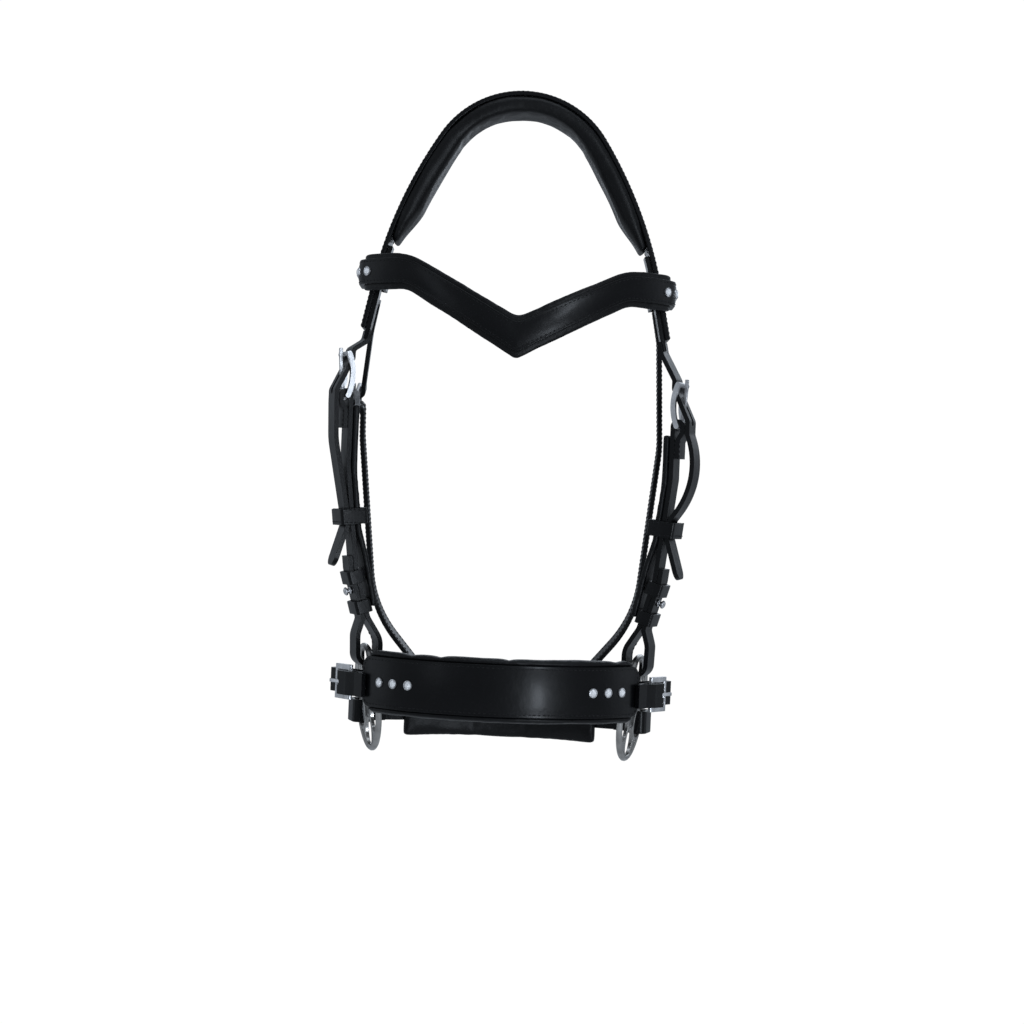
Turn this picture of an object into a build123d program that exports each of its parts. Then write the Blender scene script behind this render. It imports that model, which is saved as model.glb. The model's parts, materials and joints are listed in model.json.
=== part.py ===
from build123d import *

import os
from math import acos, cos, degrees, radians, sin, tan

# Bitless wheel bridle, in millimetres. X is to the right of a viewer who faces the horse,
# Y points back over the neck and Z up. The origin is the underside of the crownpiece at the poll.

# ---- Leather, wire and fits ----
leather = 3.2            # one thickness of strap leather
lie = 0.3                # gap between two pieces that lie on each other
run = 0.4                # gap between a strap and the metal or keeper that it runs through
strap_width = 16.0       # cheek straps, billets and all that passes through a wheel
wire = 3.4               # buckle wire diameter
bar_clear = 0.1          # running fit of a tongue on its bar
fold_clear = 0.15        # fit of a leather fold round a bar
tongue_wire = 2.4
keeper_leather = 2.2
slot = 3.6               # slot in the leather that a tongue passes through

# ---- Crownpiece ----
crown_width = 38.0
crown_pad_width = 44.0
crown_pad_thickness = 11.0
poll_radius = 53.5       # inside of the arch over the poll
poll_angle = 57.0        # half of that arch
side_radius = 296.0      # long curve down each side of the head
side_angle = 21.0
crown_tail = 33.0        # straight end of the crownpiece, through the browband loop
pad_side_angle = 15.2    # how far down the long curve the padding reaches
billet_top_angle = 16.0  # where the billets start, sewn under the crownpiece

# ---- Noseband ----
nose_width = 43.0
nose_panel_width = 34.0
nose_pad_thickness = 7.0
nose_radius = 115.0
nose_front_y = -105.0
nose_end_angle = 54.3
nose_z = -394.5
nose_corner = 10.0
nose_buckle_at = 18.0    # hinge bar, out from the noseband's end
nose_buckle_length = 16.0
nose_bend_at = 49.0      # fold of the nose strap beyond its buckle
nose_bend_radius = 3.6
nose_tuck = 16.0         # how far the nose strap runs in behind the noseband
tuck_clear = 0.5

# ---- Wheels ----
wheel_inset = 1.389      # wheel centre in from the noseband's end
wheel_behind = 49.107    # and behind it
wheel_z = -409.5
wheel_thickness = 4.5
wheel_holes = 6
hole_clear = 2.2         # a hole's radius over half of the strap width that passes through it
hole_web = 3.8           # metal between two holes
rim_web = 3.1            # metal outside the holes
hub_web = 7.5            # flat of the wheel between its hub and the holes
hub_thickness = 7.0
wheel_edge = 1.2         # rounding of the rim
hole_radius = strap_width / 2 + hole_clear
hole_circle = 2 * hole_radius + hole_web
wheel_radius = hole_circle + hole_radius + rim_web
hub_radius = hole_circle - hole_radius - hub_web
nose_end_x = nose_radius * sin(radians(nose_end_angle))
nose_end_y = nose_front_y + nose_radius * (1 - cos(radians(nose_end_angle)))
wheel_reach = nose_end_x - wheel_inset
cheek_y = nose_end_y + wheel_behind      # the wheels, and the cheek straps' top hole, are this far back
turn = 15.0              # front edge of a wheel turned in
toe_in = 6.0             # bottom edge of a wheel tucked in
loop_radius = 7.8        # the cheek strap's bend through the top hole
loop_drop = 1.2          # how far that bend sits below the hole's centre

# ---- Cheeks ----
cheek_turn = 20.0        # the cheekpieces' flat sides face this far forward of straight out
slip = 6.0               # how far the crownpiece has slid over the poll, right side down
buckle_z = -193.0        # middle of the cheek buckles, before the slip
buckle_reach = wheel_reach + 26.5    # hinge bar of a cheek buckle, out from the middle plane
buckle_length = 29.0     # hinge bar to far bar
buckle_bow = 3.0
lining_thickness = 4.0
lining_width = strap_width + 4
lining_end_z = -346.0
straight_z = -250.0      # the cheek strap hangs plumb down to here
cheek_low = (wheel_reach + 14.6, wheel_z + 89.5)     # then follows the jaw through these two points
cheek_split = (wheel_reach + 4.5, wheel_z + 55.5)
turn_back = 22.0         # folded end below the hinge bar
fold_end_z = -312.0      # top of the end that comes back up from the wheel
big_keeper_z = -284.5
big_keeper_height = 11.0
small_keeper_height = 9.0
small_keeper_at = 0.17   # the keepers and the hook stud, as shares of the doubled run
stud_at = 0.42
loose_keeper_at = 0.77
keeper_travel = 3.5      # upward slide of the loose keeper
billet_bulge = {1: 21.5, -1: 9.5}    # how far each free billet end stands off its cheek strap
bulge_drop = {1: 36.0, -1: 30.0}     # and how far below the hinge bar that is
tip_z = -319.0
tip_flare = 12.0         # how far a billet's tip stands off below its keeper

# ---- Browband ----
brow_width = 25.0
brow_panel_width = 17.0
brow_pad_thickness = 5.0
brow_stand = 10.92       # outer face of the browband out from the crown leather that it holds
brow_depth = 59.0        # front of the browband ahead of its corners
brow_corner_y = -20.0
brow_back_y = 6.0
brow_end_z = -119.5
brow_slip = 3.0          # drop of its right shoulder, rise of its left
brow_shoulder = 75.0
vee_x = 1.0
vee_z = -161.0
shoulder_round = 32.0    # bend of the browband's middle line at each shoulder
vee_round = 10.0         # rounding of the notch above the V
vee_tip_round = 3.0      # rounding of the padding's tip
panel_tip_round = 6.0    # and of the panel's
brow_loop_height = 16.0

# ---- Chin strap ----
chin_in = 30.0           # where the chin strap's bow starts, in from the wheel
chin_sag = 17.0
chin_pad_width = 38.0
chin_pad_thickness = 6.0
chin_pad_half = 70.0
chin_end = 20.0          # where the strap's returned end stops, in from the wheel

# ---- Throatlash ----
throat_width = 14.0
throat_slant = 18.0      # how far it hangs back from the vertical
throat_gap = 3.0         # from the billet's edge to the throatlash, under the crownpiece
throat_top_z = -133.0
throat_half = 110.0      # out to the hinge bar of its buckle
throat_low = 96.0        # half its width where the bottom bow starts
throat_drop = 292.0
throat_bow = 62.0
throat_buckle_drop = 79.0
throat_buckle_length = 15.0
throat_tail = 52.0       # free end of the throatlash billet

# ---- Crystals ----
crystal_radius = 3.1
crystal_height = 2.2
crystal_pitch = 12.5
nose_crystal_angle = 38.2
brow_stone_end = 18.4    # foremost browband crystal, ahead of where its corner starts

os.makedirs("parts", exist_ok=True)

# ---- Worked out from the above ----
bar = wire / 2
fold_radius = bar + fold_clear + leather / 2
over = fold_radius + leather + lie           # billet over a fold on the hinge bar
under = bar + run + leather / 2              # billet under the far bar
layer = leather + lie
crown_arch = poll_radius + crown_pad_thickness + lie + leather / 2
crown_long = side_radius + crown_pad_thickness + lie + leather / 2
crown_top = crown_pad_thickness + lie + leather / 2



def save(part, name):
    part.label = name
    export_step(part, f"parts/{name}.step")


def word(side):
    return "right" if side > 0 else "left"


# ---- Places that several pieces share ----
def crown_point(side, angle, inset):
    """Point on the crown leather's middle line, angle degrees down the long curve."""
    start = radians(poll_angle)
    here = radians(poll_angle + angle)
    x = (crown_arch - crown_long) * sin(start) + (crown_long - inset) * sin(here)
    z = crown_top - crown_arch + (crown_arch - crown_long) * cos(start) + (crown_long - inset) * cos(here)
    return (side * x, z)


def crown_angle(z, inset):
    """Angle down the long curve at which that line, moved in by inset, reaches height z."""
    base = crown_top - crown_arch + (crown_arch - crown_long) * cos(radians(poll_angle))
    return degrees(acos((z - base) / (crown_long - inset))) - poll_angle


def crown_down(side, inset, start_angle):
    """Long curve on one side, from start_angle to its end."""
    heading = radians(poll_angle + start_angle)
    return JernArc(crown_point(side, start_angle, inset), (side * cos(heading), -sin(heading)),
                   crown_long - inset, -side * (side_angle - start_angle))


def crown_tail_end(side, inset, length=crown_tail):
    """End of the straight tail below the long curve."""
    x, z = crown_point(side, side_angle, inset)
    heading = radians(poll_angle + side_angle)
    return (x + side * length * cos(heading), z - length * sin(heading))


def hinge_z(side):
    return buckle_z - side * slip - buckle_length / 2


def wheel_plane(side):
    """Middle plane of a wheel: local x points forward, local z outward."""
    forward = Vector(-side * sin(radians(turn)), -cos(radians(turn)), 0)
    outward = Vector(
        side * cos(radians(turn)) * cos(radians(toe_in)),
        -sin(radians(turn)) * cos(radians(toe_in)),
        -sin(radians(toe_in)),
    )
    return Plane(origin=(side * wheel_reach, cheek_y, wheel_z), x_dir=forward, z_dir=outward)


def hole_centre(side, angle, outward=0.0):
    """Centre of a wheel hole; the angle is measured up from straight ahead."""
    x = hole_circle * cos(radians(angle))
    y = -side * hole_circle * sin(radians(angle))
    return wheel_plane(side).from_local_coords(Vector(x, y, outward))


def cheek_plane(side):
    """Upright plane down the middle of a cheekpiece, through its wheel's top hole.

    Local y is Z, and local x runs out from the head, starting so that it equals X at that hole.
    """
    through = hole_centre(side, 90)
    x_dir = Vector(cos(radians(cheek_turn)), -side * sin(radians(cheek_turn)), 0)
    start = through - x_dir * through.X
    return Plane(origin=(start.X, start.Y, 0), x_dir=x_dir, z_dir=x_dir.cross(Vector(0, 0, 1)))


def cheek_point(side, x, z):
    return cheek_plane(side).from_local_coords(Vector(side * x, z, 0))


def cheek_across(side):
    """Direction across a cheek strap, which is backward on the right and forward on the left."""
    return cheek_plane(side).z_dir * -side


def stack_plane(high, low, share, out, across):
    """Plane square across a strap on one side of the head, share of the way from high to low.

    Local x points out of the leather, and the origin is moved that way by out.
    """
    down = (low - high).normalized()
    outward = down.cross(across)
    return Plane(origin=high + (low - high) * share + outward * out, x_dir=outward, z_dir=down)


def doubled_plane(side, share):
    """Plane across the doubled cheek strap: local x out of the leather, local y along its width."""
    low, split = (cheek_point(side, *place) for place in (cheek_low, cheek_split))
    return stack_plane(low, split, share, layer / 2, cheek_across(side))


def nose_plane(side, z):
    """Level plane at a noseband end: local x runs on along the band, local y outward."""
    angle = radians(nose_end_angle)
    radius = nose_radius - leather / 2
    start = (side * radius * sin(angle), nose_front_y + nose_radius - radius * cos(angle), z)
    return Plane(origin=start, x_dir=(side * cos(angle), sin(angle), 0), z_dir=(0, 0, -side))


def chin_plane(side, z):
    """Level plane at a wheel's middle: local x points back along the wheel, local y outward."""
    reach = wheel_reach + (z - wheel_z) * tan(radians(toe_in))
    back = (side * sin(radians(turn)), cos(radians(turn)), 0)
    return Plane(origin=(side * reach, cheek_y, z), x_dir=back, z_dir=(0, 0, -side))


def throat_plane():
    """Plane in which the throatlash hangs: local x is X, local y up along the slant."""
    back = radians(throat_slant)
    behind_billet = cheek_y + strap_width / 2 + throat_gap + throat_width / 2
    return Plane(origin=(0, behind_billet, throat_top_z), x_dir=(1, 0, 0), z_dir=(0, -cos(back), -sin(back)))


# ---- Pieces that repeat ----
def strap(plane, points, radii, width=strap_width, thickness=leather):
    """Flat strap whose edge follows the points, with its bends rounded."""
    with BuildPart() as made:
        with BuildSketch(plane):
            with BuildLine():
                FilletPolyline(*points, radius=radii)
            trace(line_width=thickness)
        extrude(amount=width / 2, both=True)
    return made


def keeper(plane, stack, width, height):
    """Leather loop round a stack of straps: local x through the straps, local y across them."""
    inner = (stack + 2 * run, width + 2 * run)
    with BuildPart() as made:
        with BuildSketch(plane):
            RectangleRounded(inner[0] + 2 * keeper_leather, inner[1] + 2 * keeper_leather, keeper_leather)
            Rectangle(*inner, mode=Mode.SUBTRACT)
        extrude(amount=height / 2, both=True)
    return made


def buckle(plane, length, width, bow=0.0):
    """Wire frame: hinge bar through the local origin, far bar at local x = length, local z outward."""
    half = width / 2 + run + bar
    side_face = Plane(origin=plane.origin, x_dir=plane.x_dir, z_dir=-plane.y_dir)
    with BuildPart() as made:
        for face in (side_face.offset(half), side_face.offset(-half)):
            with BuildSketch(face):
                with BuildLine():
                    if bow:
                        ThreePointArc((0, 0), (length / 2, -bow), (length, 0))
                    else:
                        Line((0, 0), (length, 0))
                trace(line_width=wire)
                with Locations((0, 0), (length, 0)):
                    Circle(bar)
            extrude(amount=bar, both=True)
        with BuildSketch(side_face):
            with Locations((0, 0), (length, 0)):
                Circle(bar)
        extrude(amount=half, both=True)
    return made


def tongue(plane, length):
    """Prong that turns on the hinge bar and rests on the outside of the far bar."""
    lift = bar + lie + tongue_wire / 2
    with BuildPart() as made:
        with BuildSketch(Plane(origin=plane.origin, x_dir=plane.x_dir, z_dir=-plane.y_dir)):
            with BuildLine():
                Polyline((0, 0), (length * 0.4, lift * 0.6), (length, lift), (length + 4, lift))
            trace(line_width=tongue_wire)
            Circle(bar + bar_clear + 1.2)
            Circle(bar + bar_clear, mode=Mode.SUBTRACT)
        extrude(amount=tongue_wire / 2, both=True)
    return made


def slit(plane, start, end):
    """Cutter for the slot that lets a tongue through leather near its buckle."""
    middle = plane.from_local_coords(Vector((start + end) / 2, 0, 0))
    with BuildPart() as cutter:
        with BuildSketch(Plane(origin=middle, x_dir=plane.x_dir, z_dir=plane.z_dir)):
            SlotOverall(end - start, slot)
        extrude(amount=over + 2 * leather, both=True)
    return cutter.part


def crystals(places):
    """Round stones in plain settings, one at each plane, with local z out of the leather."""
    with BuildPart() as made:
        for place in places:
            with BuildSketch(place):
                Circle(crystal_radius)
            extrude(amount=crystal_height, taper=25)
    return made


# ---- Crownpiece: arched strap over a padded roll ----
with BuildPart() as crown_strap:
    with BuildSketch(Plane.XZ):
        with BuildLine():
            for side in (1, -1):
                JernArc((0, crown_top), (side, 0), crown_arch, -side * poll_angle)
                crown_down(side, 0, 0)
                Line(crown_point(side, side_angle, 0), crown_tail_end(side, 0))
        trace(line_width=leather)
    extrude(amount=crown_width / 2, both=True)
save(crown_strap.part, "crown_strap")

pad_inset = leather / 2 + lie + crown_pad_thickness / 2
with BuildPart() as crown_pad:
    with BuildSketch(Plane.XZ):
        with BuildLine():
            for side in (1, -1):
                roll = JernArc((0, crown_top - pad_inset), (side, 0), crown_arch - pad_inset, -side * poll_angle)
                JernArc(roll @ 1, roll % 1, crown_long - pad_inset, -side * pad_side_angle)
        trace(line_width=crown_pad_thickness)
    extrude(amount=crown_pad_width / 2, both=True)
save(crown_pad.part, "crown_pad")


# ---- Cheeks: crown billet, buckle, cheek strap with its lining, keepers and hook stud ----
def cheek_x(z):
    """Middle of the cheek strap at height z, above its doubled run."""
    top = buckle_reach - fold_radius
    if z >= straight_z:
        return top
    share = (straight_z - z) / (straight_z - cheek_low[1])
    return top + (cheek_low[0] - top) * share


for side in (1, -1):
    hinge = hinge_z(side)
    far = hinge + buckle_length
    cheek_outward = cheek_plane(side).x_dir * side
    cheek_buckle = Plane(origin=cheek_point(side, buckle_reach, hinge), x_dir=(0, 0, 1), z_dir=cheek_outward)

    with BuildPart() as billet:
        with BuildSketch(Plane.XZ.offset(-cheek_y)):
            with BuildLine():
                crown_down(side, layer, billet_top_angle)
                Line(crown_point(side, side_angle, layer), crown_tail_end(side, layer, crown_tail + 7))
            trace(line_width=leather)
        extrude(amount=strap_width / 2, both=True)
        with BuildSketch(cheek_plane(side)):
            with BuildLine():
                bulge = hinge - bulge_drop[side]
                FilletPolyline(
                    crown_tail_end(side, layer, crown_tail + 1),
                    crown_tail_end(side, layer, crown_tail + 8),
                    (side * (buckle_reach - under), far + 3),
                    (side * (buckle_reach - under), far - 3),
                    (side * (buckle_reach + over), hinge + 4),
                    (side * (buckle_reach + over), hinge - 5),
                    (side * (cheek_x(bulge) + billet_bulge[side]), bulge),
                    (side * (cheek_x(big_keeper_z + 6) + layer), big_keeper_z + 6),
                    (side * (cheek_x(big_keeper_z - 6) + layer), big_keeper_z - 6),
                    (side * (cheek_x(tip_z) + layer + tip_flare), tip_z),
                    radius=[6, 4, 4, 5, 8, 56, 6, 6],
                )
            trace(line_width=leather)
        extrude(amount=strap_width / 2, both=True)
        add(slit(cheek_buckle, 1, 21), mode=Mode.SUBTRACT)
    save(billet.part, f"crown_billet_{word(side)}")

    save(buckle(cheek_buckle, buckle_length, strap_width, buckle_bow).part, f"cheek_buckle_{word(side)}")
    save(tongue(cheek_buckle, buckle_length).part, f"cheek_tongue_{word(side)}")

    top_hole = hole_centre(side, 90)
    bend_z = top_hole.Z - loop_drop
    bend_x = abs(top_hole.X)
    run_down = Vector(cheek_split[0] - cheek_low[0], cheek_split[1] - cheek_low[1], 0).normalized()
    out_x, out_z = (-run_down.Y * layer, run_down.X * layer)
    with BuildPart() as cheek_strap:
        with BuildSketch(cheek_plane(side)):
            with BuildLine():
                FilletPolyline(
                    (side * (buckle_reach - fold_radius + layer), hinge - turn_back),
                    (side * (buckle_reach - fold_radius + layer), hinge - 10),
                    (side * (buckle_reach + fold_radius), hinge - 4),
                    (side * (buckle_reach + fold_radius), hinge + fold_radius),
                    (side * (buckle_reach - fold_radius), hinge + fold_radius),
                    (side * (buckle_reach - fold_radius), straight_z),
                    (side * cheek_low[0], cheek_low[1]),
                    (side * cheek_split[0], cheek_split[1]),
                    (side * (bend_x - loop_radius), cheek_split[1] - 15),
                    (side * (bend_x - loop_radius), bend_z),
                    (side * (bend_x + loop_radius), bend_z),
                    (side * (bend_x + loop_radius + 0.8), cheek_split[1] - 12),
                    (side * (cheek_split[0] + out_x), cheek_split[1] + out_z),
                    (side * (cheek_low[0] + out_x), cheek_low[1] + out_z),
                    (side * (cheek_x(fold_end_z) + layer), fold_end_z),
                    radius=[3, 3, fold_radius * 0.98, fold_radius * 0.98, 10, 20, 8, 16,
                            loop_radius * 0.98, loop_radius * 0.98, 14, 5, 3],
                )
            trace(line_width=leather)
        extrude(amount=strap_width / 2, both=True)
        add(slit(cheek_buckle, -3, 7), mode=Mode.SUBTRACT)
    stud_plane = doubled_plane(side, stud_at)
    shank = Plane(origin=stud_plane.origin, x_dir=stud_plane.y_dir, z_dir=stud_plane.x_dir)
    with BuildPart() as stud:
        with BuildSketch(Plane(origin=shank.origin, x_dir=shank.x_dir, z_dir=-shank.y_dir)):
            half_stack = layer / 2 + leather / 2 + lie / 2
            with BuildLine():
                Polyline((0, -half_stack - 1.2), (3, -half_stack - 1.2), (3, -half_stack), (1.2, -half_stack),
                         (1.2, half_stack), (2.6, half_stack), (2.6, half_stack + 0.8), (1.6, half_stack + 1.4),
                         (1.6, half_stack + 2.2), (2.9, half_stack + 3.2), (2.9, half_stack + 4.2),
                         (1.6, half_stack + 5.2), (0, half_stack + 5.2), close=True)
            make_face()
        revolve(axis=Axis(shank.origin, shank.z_dir))
    with BuildPart() as stud_hole:
        with BuildSketch(shank):
            Circle(1.2 + lie)
        extrude(amount=2 * leather, both=True)
    save(cheek_strap.part - stud_hole.part, f"cheek_strap_{word(side)}")
    save(stud.part, f"hook_stud_{word(side)}")

    inside = leather / 2 + lie + lining_thickness / 2
    past_keepers = inside + keeper_leather + run
    below_keeper = big_keeper_z - big_keeper_height / 2 - 3
    end_x = cheek_low[0] + (cheek_low[1] - lining_end_z) * run_down.X / -run_down.Y
    lining = strap(cheek_plane(side), [
        (side * (cheek_x(hinge - 6) - inside), hinge - 6),
        (side * (cheek_x(straight_z) - inside), straight_z),
        (side * (cheek_x(below_keeper) - inside), below_keeper),
        (side * (cheek_low[0] - past_keepers), cheek_low[1] + 8),
        (side * (end_x - past_keepers), lining_end_z),
    ], [20, 8, 20], lining_width, lining_thickness)
    save(lining.part, f"cheek_lining_{word(side)}")

    stack = lining_thickness + 2 * layer + leather
    high, low = (cheek_point(side, cheek_x(z), z) for z in (straight_z, cheek_low[1]))
    share = (straight_z - big_keeper_z) / (straight_z - cheek_low[1])
    keeper_plane = stack_plane(high, low, share, (layer - lining_thickness - lie) / 2, cheek_across(side))
    save(keeper(keeper_plane, stack, lining_width, big_keeper_height).part, f"big_keeper_{word(side)}")
    for name, share in (("small_keeper", small_keeper_at), ("loose_keeper", loose_keeper_at)):
        ring = keeper(doubled_plane(side, share), 2 * leather + lie, strap_width, small_keeper_height)
        save(ring.part, f"{name}_{word(side)}")

# ---- Wheels ----
for side in (1, -1):
    with BuildPart() as wheel:
        with BuildSketch(wheel_plane(side)):
            Circle(wheel_radius)
            with PolarLocations(hole_circle, wheel_holes, start_angle=30):
                Circle(hole_radius, mode=Mode.SUBTRACT)
        extrude(amount=wheel_thickness / 2, both=True)
        rims = wheel.edges().filter_by(GeomType.CIRCLE)
        fillet([edge for edge in rims if edge.radius > hole_radius + 1], wheel_edge)
        with BuildSketch(wheel_plane(side)):
            Circle(hub_radius)
        extrude(amount=hub_thickness / 2, both=True)
    save(wheel.part, f"wheel_{word(side)}")


# ---- Browband: V-shaped raised panel on a padded backing, with a loop at each end ----
brow_tail_x, brow_tail_z = crown_point(1, side_angle, 0)
brow_half = brow_tail_x + (brow_tail_z - brow_end_z) / tan(radians(poll_angle + side_angle)) + brow_stand
brow_turn = radians(45)
brow_corner = (brow_half * (1 - sin(brow_turn)) - brow_depth * cos(brow_turn)) / (
    (1 - cos(brow_turn)) * (1 - sin(brow_turn)) - sin(brow_turn) * cos(brow_turn))


def brow_line(inset):
    """Browband seen from above, moved in by inset from its outer face."""
    reach = brow_half
    corner = brow_corner
    front = (reach - corner * (1 - cos(brow_turn))) / cos(brow_turn)
    for side in (1, -1):
        straight = Line((side * (reach - inset), brow_back_y), (side * (reach - inset), brow_corner_y))
        bend = JernArc(straight @ 1, (0, -1), corner - inset, -side * 45)
        JernArc(bend @ 1, bend % 1, front - inset, -side * 45)


def brow_shape(width, tip_round):
    """Front outline of the browband: two level ends, two arms and the V."""
    half = width / 2
    left_z = brow_end_z + brow_slip
    right_z = brow_end_z - brow_slip
    steep = cos(radians(29))
    reach = brow_half + 5
    points = [
        (-reach, left_z + half), (-brow_shoulder, left_z + half), (vee_x, vee_z + half / steep),
        (brow_shoulder, right_z + half), (reach, right_z + half), (reach, right_z - half),
        (brow_shoulder, right_z - half), (vee_x, vee_z - half / steep), (-brow_shoulder, left_z - half),
        (-reach, left_z - half),
    ]
    outer, inner = (shoulder_round + half, shoulder_round - half)
    FilletPolyline(*points, radius=[1, outer, vee_round, outer, 1, 1, inner, tip_round, inner, 1], close=True)


def brow_layer(width, inset, thickness, tip_round):
    with BuildPart() as made:
        with BuildSketch(Plane.XY.offset(vee_z - brow_width)):
            with BuildLine():
                brow_line(inset + thickness / 2)
            trace(line_width=thickness)
        extrude(amount=brow_end_z - vee_z + 3 * brow_width)
        with BuildSketch(Plane.XZ.offset(-brow_half)):
            with BuildLine():
                brow_shape(width, tip_round)
            make_face()
        extrude(amount=2 * brow_half, mode=Mode.INTERSECT)
    return made


brow_strap = brow_layer(brow_panel_width, 0, leather, panel_tip_round)
save(brow_strap.part, "browband_strap")
brow_pad = brow_layer(brow_width, layer, brow_pad_thickness, vee_tip_round)
pad_back = -(crown_width / 2 + run + keeper_leather + lie)
save(brow_pad.part.split(Plane.XZ.offset(-pad_back), keep=Keep.TOP), "browband_pad")

for side in (1, -1):
    high, low = (Vector(x, 0, z) for x, z in (crown_tail_end(side, 0, 0), crown_tail_end(side, 0)))
    share = (high.Z - brow_end_z + side * brow_slip) / (high.Z - low.Z)
    loop = keeper(stack_plane(high, low, share, -layer / 2, Vector(0, side, 0)), 2 * leather + lie, crown_width,
                  brow_loop_height)
    save(loop.part, f"browband_loop_{word(side)}")

# ---- Noseband ----
def nose_layer(width, inset, thickness, corner):
    radius = nose_radius - inset - thickness / 2
    with BuildPart() as made:
        with BuildSketch(Plane.XY.offset(nose_z - width / 2)):
            with BuildLine():
                CenterArc((0, nose_front_y + nose_radius), radius, 270 - nose_end_angle, 2 * nose_end_angle)
            trace(line_width=thickness)
        extrude(amount=width)
        ends = made.edges().filter_by(GeomType.LINE).filter_by(Plane.XY)
        fillet(ends, corner)
    return made


nose_strap = nose_layer(nose_panel_width, 0, leather, nose_corner - 2)
save(nose_strap.part, "noseband_strap")
nose_pad = nose_layer(nose_width, layer, nose_pad_thickness, nose_corner)
save(nose_pad.part, "noseband_pad")

for side in (1, -1):
    hole = hole_centre(side, 30)
    base = nose_plane(side, hole.Z)
    local = [base.to_local_coords(point) for point in (
        hole_centre(side, 30, 9), hole_centre(side, 30, -9),
        wheel_plane(side).from_local_coords(Vector(wheel_radius + 3, 0, -wheel_thickness / 2 - leather)))]
    crossing_out, crossing_in, past_rim = ((point.X, point.Y) for point in local)
    behind = leather / 2 + lie + nose_pad_thickness + lie + leather / 2
    band_sag = nose_tuck**2 / (2 * nose_radius)
    frame = Plane(origin=base.from_local_coords(Vector(nose_buckle_at, 0, 0)), x_dir=base.x_dir, z_dir=base.y_dir)
    far = nose_buckle_at + nose_buckle_length

    with BuildPart() as nose_billet:
        with BuildSketch(base):
            with BuildLine():
                FilletPolyline(
                    (-6, layer + 0.8),
                    (3, layer + 1.2),
                    (nose_buckle_at - 7, over),
                    (nose_buckle_at + 3, over),
                    (far - 2, -under),
                    (nose_bend_at, -under),
                    (nose_bend_at, -under - 2 * nose_bend_radius),
                    crossing_out,
                    crossing_in,
                    past_rim,
                    (-nose_tuck, -behind - band_sag - tuck_clear),
                    radius=[3, 3, 2.5, 2.5, nose_bend_radius * 0.98, nose_bend_radius * 0.98, 2.5, 3, 4],
                )
            trace(line_width=leather)
        extrude(amount=strap_width / 2, both=True)
        add(slit(frame, 1, 12), mode=Mode.SUBTRACT)
    save(nose_billet.part, f"nose_billet_{word(side)}")

    with BuildPart() as chape:
        with BuildSketch(base):
            with BuildLine():
                FilletPolyline(
                    (lie + 0.8, 0),
                    (nose_buckle_at - 7, -fold_radius),
                    (nose_buckle_at + fold_radius, -fold_radius),
                    (nose_buckle_at + fold_radius, fold_radius),
                    (nose_buckle_at - 5, fold_radius),
                    radius=[4, fold_radius * 0.98, fold_radius * 0.98],
                )
            trace(line_width=leather)
        extrude(amount=strap_width / 2, both=True)
        add(slit(frame, -3, 7), mode=Mode.SUBTRACT)
    save(chape.part, f"nose_chape_{word(side)}")
    save(buckle(frame, nose_buckle_length, strap_width).part, f"nose_buckle_{word(side)}")
    save(tongue(frame, nose_buckle_length).part, f"nose_tongue_{word(side)}")

# ---- Chin strap ----
chin_z = hole_centre(1, 210).Z


def chin_ends(side):
    """Route of the chin strap's end round the back of a wheel, and the start of the bow."""
    base = chin_plane(side, chin_z)
    hole = base.to_local_coords(hole_centre(side, 210))
    rim = wheel_radius + 4.5
    route = [(rim - layer + 1.9, -chin_end), (rim - layer - 1, -10), (hole.X, hole.Y - 3),
             (hole.X, hole.Y + 5.5), (rim, 5.5), (rim + 3, -chin_in)]
    points = [base.from_local_coords(Vector(*point, 0)) for point in route]
    return [(point.X, point.Y) for point in points]


with BuildPart() as chin_strap:
    with BuildSketch(Plane.XY.offset(chin_z)):
        with BuildLine():
            for side in (1, -1):
                FilletPolyline(*chin_ends(side), radius=[4, 3, 3.5, 3.5])
            start, finish = chin_ends(1)[-1], chin_ends(-1)[-1]
            ThreePointArc(start, (0, start[1] + chin_sag), finish)
        trace(line_width=leather)
    extrude(amount=strap_width / 2, both=True)
save(chin_strap.part, "chin_strap")

with BuildPart() as chin_pad:
    with BuildSketch(Plane.XY.offset(chin_z)):
        with BuildLine():
            bow = chin_ends(1)[-1]
            radius = (bow[0] ** 2 + chin_sag ** 2) / (2 * chin_sag)
            shift = leather / 2 + lie + chin_pad_thickness / 2
            half_angle = degrees(acos(1 - chin_sag * (chin_pad_half / bow[0]) ** 2 / radius))
            CenterArc((0, bow[1] + chin_sag - radius), radius - shift, 90 - half_angle, 2 * half_angle)
        trace(line_width=chin_pad_thickness)
    extrude(amount=chin_pad_width / 2, both=True)
save(chin_pad.part, "chin_pad")

# ---- Throatlash: billet from the crownpiece's left side, buckle, and the strap round the throat ----
def throat_top(side):
    """Sewn run of the throatlash under the crownpiece's tail, in the throatlash's own plane."""
    inset = layer + throat_width / 2 * sin(radians(throat_slant)) / tan(radians(poll_angle + side_angle))
    height = crown_tail_end(side, inset)[1]
    start_x, start_z = crown_point(side, side_angle, inset)
    slope = side / tan(radians(poll_angle + side_angle))
    return [(start_x + slope * (start_z - z), (z - throat_top_z) / cos(radians(throat_slant)))
            for z in (throat_top_z, height)]


def throat_buckle_plane():
    """Local x runs up the strap from the hinge bar to the far bar, local z away from the head."""
    base = throat_plane()
    origin = base.from_local_coords(Vector(-throat_half, -throat_buckle_drop, 0))
    return Plane(origin=origin, x_dir=base.y_dir, z_dir=(-1, 0, 0))


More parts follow.
